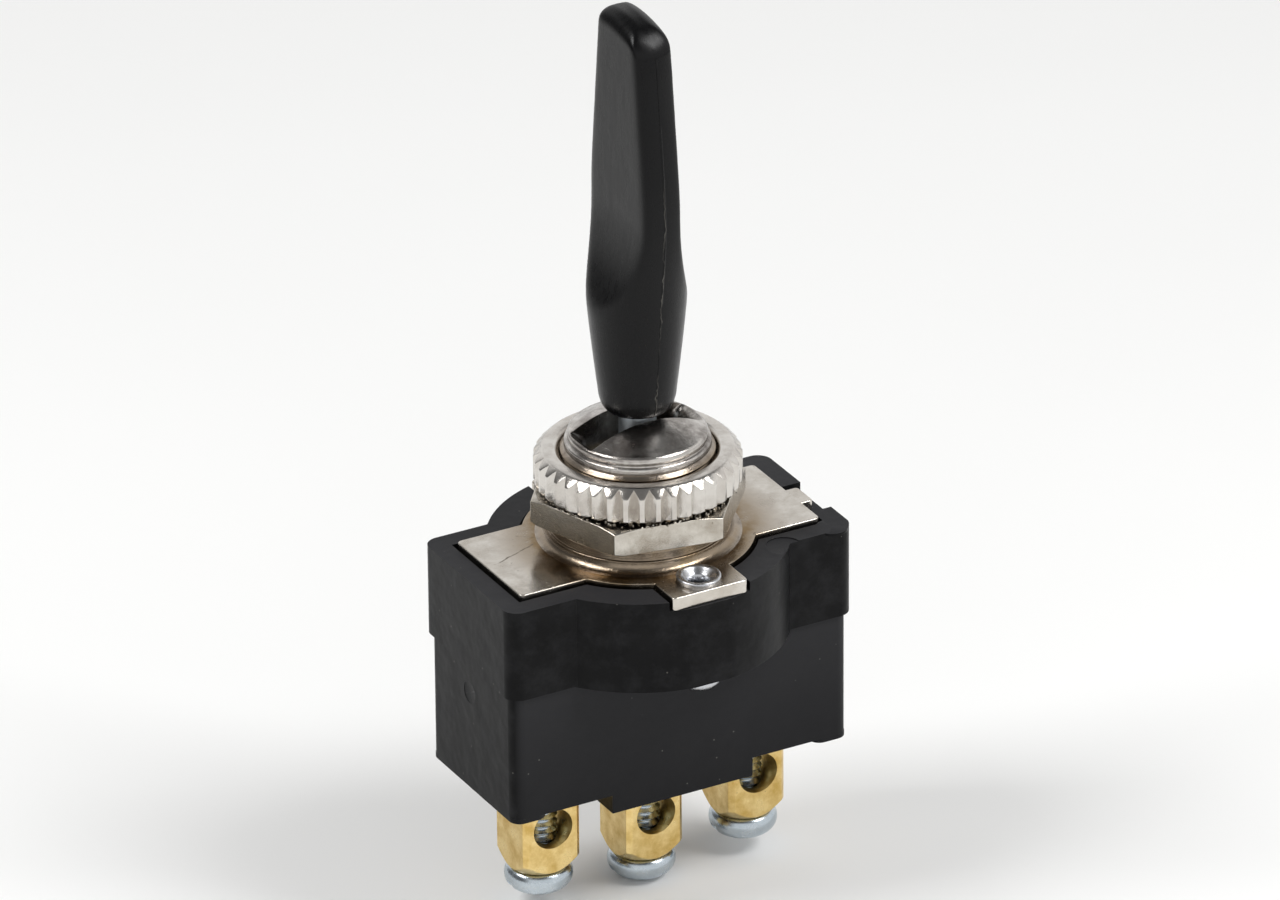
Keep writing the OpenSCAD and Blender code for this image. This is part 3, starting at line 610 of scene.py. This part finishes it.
def thread_tree():
    """A ridge wound round an upright axis: the thread of a screw or of the bushing."""
    tree, given = new_tree("wound_thread", Radius="Float", Pitch="Float", Turns="Float", Ridge="Float",
                           Foot="Vector")
    rise = add(tree, "ShaderNodeMath", {0: given["Pitch"], 1: given["Turns"]}, operation="MULTIPLY")
    coil = add(tree, "GeometryNodeCurveSpiral", {"Resolution": 56, "Rotations": given["Turns"],
                                                 "Height": rise, "Start Radius": given["Radius"],
                                                 "End Radius": given["Radius"]})
    upright = add(tree, "GeometryNodeSetCurveNormal", {"Curve": coil}, mode="Z_UP")
    tooth = add(tree, "GeometryNodeCurvePrimitiveCircle", {"Resolution": 4, "Radius": given["Ridge"]})
    ridge = add(tree, "GeometryNodeCurveToMesh", {"Curve": upright, "Profile Curve": tooth,
                                                  "Fill Caps": True})
    placed = add(tree, "GeometryNodeTransform", {"Geometry": ridge, "Translation": given["Foot"]})
    return close_tree(tree, given, placed.outputs[0])


def crumb_tree():
    """Scatters small angular crumbs over a face: chips of plating and thread left between the nuts."""
    tree, given = new_tree("scattered_crumbs", Density="Float", Size="Float", Seed="Int")
    spread = add(tree, "GeometryNodeDistributePointsOnFaces", {"Mesh": given["Geometry"],
                                                               "Density": given["Density"],
                                                               "Seed": given["Seed"]})
    crumb = add(tree, "GeometryNodeMeshIcoSphere", {"Radius": given["Size"], "Subdivisions": 1})
    turn = add(tree, "FunctionNodeRandomValue", {"Min": (0, 0, 0), "Max": (6, 6, 6), "Seed": 3},
               data_type="FLOAT_VECTOR")
    stretch = add(tree, "FunctionNodeRandomValue", {"Min": (0.3, 0.3, 0.3), "Max": (1.4, 0.9, 1.0),
                                                    "Seed": 5}, data_type="FLOAT_VECTOR")
    strewn = add(tree, "GeometryNodeInstanceOnPoints", {"Points": spread.outputs["Points"], "Instance": crumb,
                                                        "Rotation": turn, "Scale": stretch})
    return close_tree(tree, given, strewn.outputs[0])


SECTORS, THREAD, CRUMBS = ring_tree(), thread_tree(), crumb_tree()


def thread(radius, pitch, z0, z1, ridge, mat, x=0):
    """A wound ridge standing on a core of this radius, from z0 to z1."""
    return grow(THREAD, obj_from("thread", [], []), Finish=mat, Radius=radius * MM, Pitch=pitch * MM,
                Turns=(z1 - z0) / pitch, Ridge=ridge * MM, Foot=(x * MM, 0, z0 * MM))


# ---------------------------------------------------------------- the pieces


def span(node):
    """Lowest and highest corner of a CAD node, in millimetres."""
    low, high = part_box(node)
    return Vector(low) / MM, Vector(high) / MM


def plug(r, z0, z1, steps, x=0, y=0):
    """A round plug, upright, to fill or cut with."""
    return turned([(0, z0), (r, z0), (r, z1), (0, z1)], steps, x=x, y=y)


def housing():
    """The moulded body with its rounded edges in a lighter finish, partly wear and partly painted highlight,
    a rim corner filled, shallow round marks on rim and left end.
    """
    piece = from_node("housing", "moulded_housing", [THERMOSET, THERMOSET_EDGE])
    combine(piece, plug(1.25, -0.2, 0.0, 48, x=13.4, y=-6.35), "UNION")
    combine(piece, plug(1.43, -0.07, 0.5, 64, x=8.65, y=-7.3))
    filling = plug(1.0, -0.3, 0.09, 48)
    place = Matrix.Translation((-14.53 * MM, 0.3 * MM, -10.05 * MM))
    filling.data.transform(place @ Matrix.Rotation(-math.pi / 2, 4, "Y"))
    combine(piece, filling, "UNION")
    # the rounded edges take the second, lighter finish: partly wear, partly painted highlight
    soften(piece, 0.2, 3, 32, 1)
    return settle(piece, 35)


# outline of the sleeve before its flats are cut: height, radius
SLEEVE_TOP = 43.75
SLEEVE = [(10.8, 1.9), (10.86, 2.15), (11.0, 2.42), (11.25, 2.66), (11.6, 2.84), (12.1, 2.97), (13.0, 3.08),
          (14.9, 3.3), (17.3, 3.57), (20.1, 3.84), (22.5, 4.1), (24.5, 4.38), (26.3, 4.55), (28.2, 4.61),
          (30.0, 4.54), (32.0, 4.36), (35.0, 4.04), (38.0, 3.73), (41.3, 3.4), (44.0, 3.14)]


def sleeve_radius(z):
    """The sleeve's radius, averaged over a short height above its rounded foot so that no kink shows."""
    foot_top, lowest, highest = 12.6, 10.8, 43.9
    reach = (-1.2, -0.8, -0.4, 0, 0.4, 0.8, 1.2) if z > foot_top else (0,)
    total = 0
    for d in reach:
        at = min(highest, max(lowest, z + d))
        for (z0, r0), (z1, r1) in zip(SLEEVE, SLEEVE[1:]):
            if at <= z1:
                total += r0 + (r1 - r0) * (at - z0) / (z1 - z0)
                break
    return total / len(reach)


def crown(y, z):
    """How far the top dips away from its highest place, which lies behind the middle."""
    return 0.05 * (y - 1.2) ** 2 * max(0.0, (z - 40) / 3.75)


def paddle_sleeve():
    """Round below and flattened above: two scooped flats cut into a waisted round. The top is rolled over,
    rounder in front than at the back."""
    # roundings of the top: over the flats, over the edges, and how much the second varies
    roll, corner, less_behind = 1.3, 1.9, 0.5
    # half thickness between the flats, then the radius and the height of the scoops
    half, scoop, scoop_z = 1.625, 14.5, 28.0
    sharp = 15  # the higher, the sharper the edges of the flats
    levels = {10.8, 10.81, 10.86, 10.93, 11.0, 11.12, 11.25, 11.42, 11.6, 11.85, 12.1}
    levels |= {12.1 + i * 0.4 for i in range(1, 74)}
    levels |= {SLEEVE_TOP - corner * (1 - math.sin(math.radians(a))) for a in range(0, 90, 3)} | {SLEEVE_TOP}
    levels = sorted(z for z in levels if z <= SLEEVE_TOP)
    angles = {2 * i for i in range(180)} | {c + d for c in (90, 270) for d in (-0.9, -0.5, 0.5, 0.9)}
    angles = [math.radians(a) for a in sorted(angles)]
    parting = math.sin(math.radians(0.7))
    verts = []
    for z in levels:
        full = sleeve_radius(z)
        flat = half if z > scoop_z else half + scoop - math.sqrt(max(0.0, scoop**2 - (scoop_z - z) ** 2))
        over = z - (SLEEVE_TOP - roll)
        if over > 0:
            flat -= roll - math.sqrt(max(0.0, roll**2 - over**2))
        for a in angles:
            c, s = math.cos(a), math.sin(a)
            edge = corner - less_behind * (1 + s)
            over = max(0.0, z - (SLEEVE_TOP - edge))
            radius = full - edge + math.sqrt(max(0.0, edge**2 - over**2))
            rho = (radius**-sharp + (flat / max(abs(c), 1e-3)) ** -sharp) ** (-1 / sharp)
            if abs(c) < parting and z < SLEEVE_TOP - corner:
                rho += 0.05  # the parting line stands a little proud
            verts.append((rho * c, rho * s, z - crown(rho * s, z)))
    n, steps = len(levels), len(angles)
    faces = []
    for low in range(0, steps * (n - 1), steps):
        for i in range(steps):
            j = (i + 1) % steps
            faces.append((low + i, low + j, low + steps + j, low + steps + i))
    # the top closes in two small steps, so that it stays crowned
    for share in (0.6, 0.25):
        verts += [(x * share, y * share, SLEEVE_TOP - crown(y * share, SLEEVE_TOP))
                  for x, y, z in verts[(n - 1) * steps : n * steps]]
        last = len(verts) - steps
        ring = (n - 1) * steps if share == 0.6 else last - steps
        faces += [(ring + i, ring + (i + 1) % steps, last + (i + 1) % steps, last + i) for i in range(steps)]
    faces.append(tuple(range(len(verts) - steps, len(verts))))
    # the bore for the rod runs in from below
    base, bore = len(verts), 1.47
    for z in (10.8, 36.0):
        verts += [(bore * math.cos(a), bore * math.sin(a), z) for a in angles]
    for i in range(steps):
        j = (i + 1) % steps
        faces += [(i, base + i, base + j, j), (base + i, base + steps + i, base + steps + j, base + j)]
    faces.append(tuple(range(base + steps, base + 2 * steps)))
    return settle(obj_from("paddle_sleeve", verts, faces, [VINYL]), 60)


def slot_tool():
    """The lever slot, its two ends rolled over towards the rim, its sides straight."""
    width = 3.4
    # height, reach of the left and the right end, corner radius
    layers = [(7.0, 4.3, 4.3, 0.8), (8.3, 4.35, 4.3, 0.8), (8.6, 4.5, 4.36, 0.75), (8.85, 4.75, 4.5, 0.6),
              (9.05, 5.05, 4.75, 0.45), (9.2, 5.4, 5.05, 0.3), (9.35, 5.7, 5.4, 0.3), (12.0, 5.7, 5.4, 0.3)]
    verts = []
    for z, left, right, r in layers:
        outline = oblong(left + right, width, r, 6, x=(right - left) / 2)
        verts += [(x, y, z) for x, y in outline]
    n, k = len(outline), len(layers)
    faces = [tuple(range(n - 1, -1, -1)), tuple(range(n * (k - 1), n * k))]
    for m in range(0, n * (k - 1), n):
        faces += [(m + i, m + (i + 1) % n, m + n + (i + 1) % n, m + n + i) for i in range(n)]
    return obj_from("slot_tool", verts, faces, [DOME_NICKEL])


def domed_bushing():
    """Turned in one: flange, flared shoulder, barrel, stepped rim and dome; cut by slot and pin hole."""
    thread_r, root, thread_top, dome_top, dome_r = 5.97, 5.62, 7.75, 10.5, 10.1
    centre_z = dome_top - dome_r
    dome = [(i * 0.25, centre_z + math.sqrt(dome_r**2 - (i * 0.25) ** 2)) for i in range(20, -1, -1)]
    rim_z = dome[0][1]
    outline = [(4.2, -1.35), (5.7, -1.35), (5.7, -0.75), (5.1, -0.75), (5.1, 0.35), (7.95, 0.351)]
    outline += [(7.75, 0.37), (7.55, 0.43), (7.38, 0.54), (7.24, 0.7), (7.15, 0.88), (7.12, 1.05)]
    outline += arc(7.02, 1.12, 0.1, 0, 80, 5) + [(6.97, 1.25), (6.95, 1.32)] + arc(6.45, 1.8, 0.5, 0, 90, 8)
    outline += [(5.8, 2.3), (root, 2.5), (root, 7.25), (thread_r - 0.05, 7.4), (thread_r - 0.02, 7.5),
                (thread_r - 0.4, thread_top), (5.66, 7.86)]
    outline += arc(5.44, 8.16, 0.2, 0, 70, 6) + [(5.4, 8.38), (5.37, 8.44), (5.4, 8.5)]
    outline += arc(4.99, rim_z - 0.42, 0.41, 0, 78, 12) + dome
    outline += [(0, 8.0), (4.2, 7.1)]
    piece = turned(outline, 192, "domed_bushing", [DOME_NICKEL])
    combine(piece, slot_tool())
    pin = plug(0.8, -10, 10, 48)
    pin.data.transform(Matrix.Translation((0, 0, 3 * MM)) @ Matrix.Rotation(math.pi / 2, 4, "X"))
    combine(piece, pin)
    soften(piece, 0.07, 3, 38)
    settle(piece, 40)
    ridge = thread(root, pitch=0.8, z0=2.6, z1=7.2, ridge=0.35, mat=DOME_NICKEL)
    return join(piece, settle(ridge, 20))


def knurled_nut():
    """One sector of the round nut, a narrow land between two half grooves, repeated round the bushing."""
    teeth, outer, deep, land, bore = 40, 8.0, 0.58, 0.14, 6.05
    low, high = span("knurled_nut")
    z0, z1 = low.z, high.z
    pitch, start = 360 / teeth, 0.35  # in degrees
    # outline of the section: (height, radius that the turning leaves); the bore's two chamfers close it
    section = [(z0, bore + 0.4), (z0, outer - 0.34), (z0 + 0.1, outer - 0.16), (z0 + 0.24, outer),
               (z0 + 0.9, outer), (z1 - 1.1, outer), (z1 - deep - 0.1, outer),
               (z1 - deep + 0.1, outer - 0.17), (z1 - 0.3, outer - deep + 0.22),
               (z1 - 0.12, outer - deep + 0.03), (z1 - 0.02, outer - deep - 0.12), (z1, outer - deep - 0.28),
               (z1, bore + 0.38), (z1 - 0.12, bore + 0.18), (z1 - 0.36, bore), (z0 + 0.36, bore),
               (z0 + 0.1, bore + 0.22)]
    verts, faces = [], []
    for z, r in section:
        shares, radii = (-0.5, -0.25, 0, 0.25, 0.5), [r] * 5
        if r > outer - deep:
            # the flank runs straight from the bottom of the groove to the edge of the land
            edge = land + (0.5 - land) * (outer - r) / deep
            shares = (-0.5, -edge, 0, edge, 0.5)
            radii[0] = radii[4] = outer - deep
        for share, radius in zip(shares, radii):
            a = math.radians(share * pitch + start)
            verts.append((radius * math.cos(a), radius * math.sin(a), z))
    n = len(section)
    for k in range(n):
        m = (k + 1) % n
        faces += [(5 * k + j, 5 * k + j + 1, 5 * m + j + 1, 5 * m + j) for j in range(4)]
    piece = obj_from("knurled_nut_piece", verts, faces, [NUT_NICKEL])
    grow(SECTORS, piece, Finish=NUT_NICKEL, Copies=teeth)
    form = bmesh.new()
    form.from_mesh(piece.data)
    bmesh.ops.remove_doubles(form, verts=form.verts, dist=2e-6)
    form.to_mesh(piece.data)
    form.free()
    soften(piece, 0.035, 2, 24)
    return settle(piece, 24)


def plated_hex_nut():
    """The hex nut with its edges worn round and crumbs of metal on its upper face."""
    piece = from_node("hex_nut", "plated_hex_nut", [HEX_NICKEL])
    soften(piece, 0.09, 3, 20)
    settle(piece, 30)
    top = span("hex_nut")[1].z
    bed = turned([(6.9, top + 0.03), (7.75, top + 0.03)], 96)
    crumbs_per_square_metre = 6.0e6
    crumbs = grow(CRUMBS, bed, Finish=HEX_NICKEL, Density=crumbs_per_square_metre, Size=0.15 * MM, Seed=7)
    return join(piece, crumbs)


def clamp_screw(side):
    """A pan head screw with a driver slot across the head and a ridge wound round its shank."""
    low, high = span("terminal_screw_" + side)
    x, head_r = (low.x + high.x) / 2, (high.x - low.x) / 2
    top, under = high.z, low.z + 2.0  # under: where the head meets the block
    bottom_r, middle = 1.35, under - 0.85  # middle: where the head is widest
    shank_r, slot_half, slot_deep = 1.22, 0.4, 1.0
    outline = [(0, low.z), (bottom_r, low.z)]
    outline += [(bottom_r + (head_r - bottom_r) * math.sin(math.radians(a)),
                 middle - (middle - low.z) * math.cos(math.radians(a))) for a in range(6, 91, 6)]
    outline += [(head_r - 0.6 + 0.6 * math.cos(math.radians(a)), middle + 0.85 * math.sin(math.radians(a)))
                for a in range(10, 91, 8)]
    outline += [(1.35, under), (shank_r, under + 0.12), (shank_r, top - 0.3), (0.9, top), (0, top)]
    piece = turned(outline, 128, "clamp_screw_" + side, [ZINC], x=x)
    corners = [(x - 4, -slot_half), (x + 4, -slot_half), (x + 4, slot_half), (x - 4, slot_half)]
    combine(piece, bar(corners, low.z - 1, low.z + slot_deep, mats=[ZINC]))
    soften(piece, 0.05, 2, 40)
    settle(piece, 35)
    ridge = thread(1.2, pitch=0.62, z0=under + 0.5, z1=top - 0.35, ridge=0.29, mat=ZINC, x=x)
    return join(piece, settle(ridge, 15))


def brass_block(side):
    """A terminal block with its sawn edges broken."""
    piece = from_node("terminal_" + side, "brass_block_" + side, [BRASS])
    soften(piece, 0.15, 2, 32)
    return settle(piece, 35)


def tube_rivet(end):
    """A tubular rivet with a dished flange on the plate and its rolled end under the bulge."""
    low, high = span("rivet_" + end)
    y = (low.y + high.y) / 2
    top, flange_r, shank, bore = high.z, (high.y - low.y) / 2, 1.15, 0.7
    outline = [(bore, low.z + 0.3), (0.85, low.z + 0.1), (1.1, low.z), (1.3, low.z + 0.05),
               (flange_r - 0.3, low.z + 0.18), (flange_r - 0.05, low.z + 0.45), (flange_r, low.z + 0.62),
               (flange_r - 0.08, low.z + 0.86), (shank + 0.12, low.z + 0.98), (shank, low.z + 1.1),
               (shank, top - 0.42), (flange_r - 0.1, top - 0.42)]
    outline += arc(flange_r - 0.14, top - 0.14, 0.14, -70, 80, 7)
    outline += [(flange_r - 0.3, top - 0.01), (flange_r - 0.38, top - 0.04), (flange_r - 0.45, top - 0.1),
                (1.15, top - 0.24), (0.95, top - 0.36), (0.8, top - 0.52), (0.72, top - 0.85),
                (bore, top - 1.2)]
    return settle(turned(outline, 96, "tube_rivet_" + end, [RIVET], y=y), 50)


# ---------------------------------------------------------------- dress the frame


def dress(piece, body, node):
    """Puts a piece on its body in place of a CAD node, which it hides."""
    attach(piece, body)
    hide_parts(node)


# CAD nodes whose shape is right keep it and take a finish
KEPT = {"pivot_pin": ZINC, "lever_rod": ROD_ZINC, "plunger": NYLON, "plunger_spring": SPRING,
        "rocker": BRONZE, "fulcrum_bracket": STAMPED}
for side in ("left", "right"):
    KEPT |= {"rocker_tip_" + side: SILVER, "fixed_tip_" + side: SILVER, "contact_plate_" + side: STAMPED}
for node, mat in KEPT.items():
    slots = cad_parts[node].data.materials
    if len(slots) == 0:
        slots.append(mat)
    for i in range(len(slots)):
        slots[i] = mat

plate = from_node("cover_plate", "nickel_cover_plate", [PLATE_NICKEL])
soften(plate, 0.26, 4, 32)
dress(housing(), "body", "housing")
dress(settle(plate, 35), "body", "cover_plate")
dress(domed_bushing(), "body", "bushing")
dress(plated_hex_nut(), "hex_nut", "hex_nut")
dress(knurled_nut(), "knurled_nut", "knurled_nut")
dress(paddle_sleeve(), "lever", "lever_sleeve")
for side in ("left", "centre", "right"):
    dress(brass_block(side), "body", "terminal_" + side)
    dress(clamp_screw(side), "screw_" + side, "terminal_screw_" + side)
for end in ("front", "rear"):
    dress(tube_rivet(end), "body", "rivet_" + end)

# ---------------------------------------------------------------- floor, light, camera

low, high = Vector(cad_box[0]), Vector(cad_box[1])
floor_z = low.z - 0.2 * MM
half_floor = 3e3
floor_mat, tree, body, where = finish("matt_white_floor", **{"Roughness": 0.75})
grain = add(tree, "ShaderNodeTexNoise", {"Vector": where, "Scale": per(40), "Detail": 2.0})
tone = add(tree, "ShaderNodeMix", {"Factor": grain, "A": "#f3f3f2", "B": "#f6f6f5"}, data_type="RGBA")
tree.links.new(tone.outputs["Result"], body.inputs["Base Color"])
corners = [(half_floor * x, half_floor * y, floor_z / MM) for x, y in ((-1, -1), (1, -1), (1, 1), (-1, 1))]
floor = obj_from("floor", corners, [(0, 1, 2, 3)], [floor_mat])

# a pale wall all round up to a third of the way, a darker opening to the left, a dim ceiling above
world = bpy.data.worlds.new("studio")
bpy.context.scene.world = world
world.use_nodes = True
tree = world.node_tree
direction = add(tree, "ShaderNodeTexCoord").outputs["Generated"]
up = add(tree, "ShaderNodeSeparateXYZ", {0: direction}).outputs["Z"]
wall = add(tree, "ShaderNodeMapRange", {"Value": up, "From Min": 0.5, "From Max": 0.72, "To Min": 0.95,
                                        "To Max": 0.16}, interpolation_type="SMOOTHSTEP")
toward_door = add(tree, "ShaderNodeVectorMath", {0: direction, 1: (-0.92, 0.39, 0)}, operation="DOT_PRODUCT")
door = add(tree, "ShaderNodeMapRange", {"Value": toward_door.outputs["Value"], "From Min": 0.5,
                                        "From Max": 0.8, "To Min": 1.0, "To Max": 0.15},
           interpolation_type="SMOOTHSTEP")
lit = add(tree, "ShaderNodeMath", {0: wall, 1: door}, operation="MULTIPLY")
tree.links.new(lit.outputs[0], tree.nodes["Background"].inputs["Strength"])
tree.nodes["Background"].inputs["Color"].default_value = (1, 1, 1, 1)


def softbox(name, place, size=0.22, watts=1.65):
    """A square white light aimed at the switch."""
    data = bpy.data.lights.new(name, "AREA")
    data.shape = "SQUARE"
    data.size = size
    data.energy = watts
    lamp = bpy.data.objects.new(name, data)
    lamp.location = place
    lamp.rotation_euler = (-Vector(place)).to_track_quat("-Z", "Y").to_euler()
    bpy.context.scene.collection.objects.link(lamp)


softbox("left_box", (-0.34, 0.085, 0.42))
softbox("right_box", (0.255, -0.245, 0.42))

# the camera looks at a place just above the origin; roll leans it a little
azimuth, elevation, roll, reach = math.radians(-28.75), math.radians(27.0), math.radians(-0.48), 0.9
across = math.cos(elevation)
toward = Vector((math.sin(azimuth) * across, -math.cos(azimuth) * across, math.sin(elevation)))
right = Vector((math.cos(azimuth), math.sin(azimuth), 0))
above = toward.cross(right)
aside, higher = 0.17 * MM, 6.38 * MM
target = right * aside + above * higher
lens = bpy.data.cameras.new("camera")
lens.sensor_width = 36
lens.lens = 330.96
lens.clip_start, lens.clip_end = 0.05, 20
camera = bpy.data.objects.new("camera", lens)
level = math.cos(roll) * right + math.sin(roll) * above
plumb = -math.sin(roll) * right + math.cos(roll) * above
turn = Matrix((level, plumb, toward)).transposed().to_4x4()
camera.matrix_world = Matrix.Translation(target + toward * reach) @ turn
bpy.context.scene.collection.objects.link(camera)
bpy.context.scene.camera = camera
bpy.context.scene.view_settings.view_transform = "Standard"
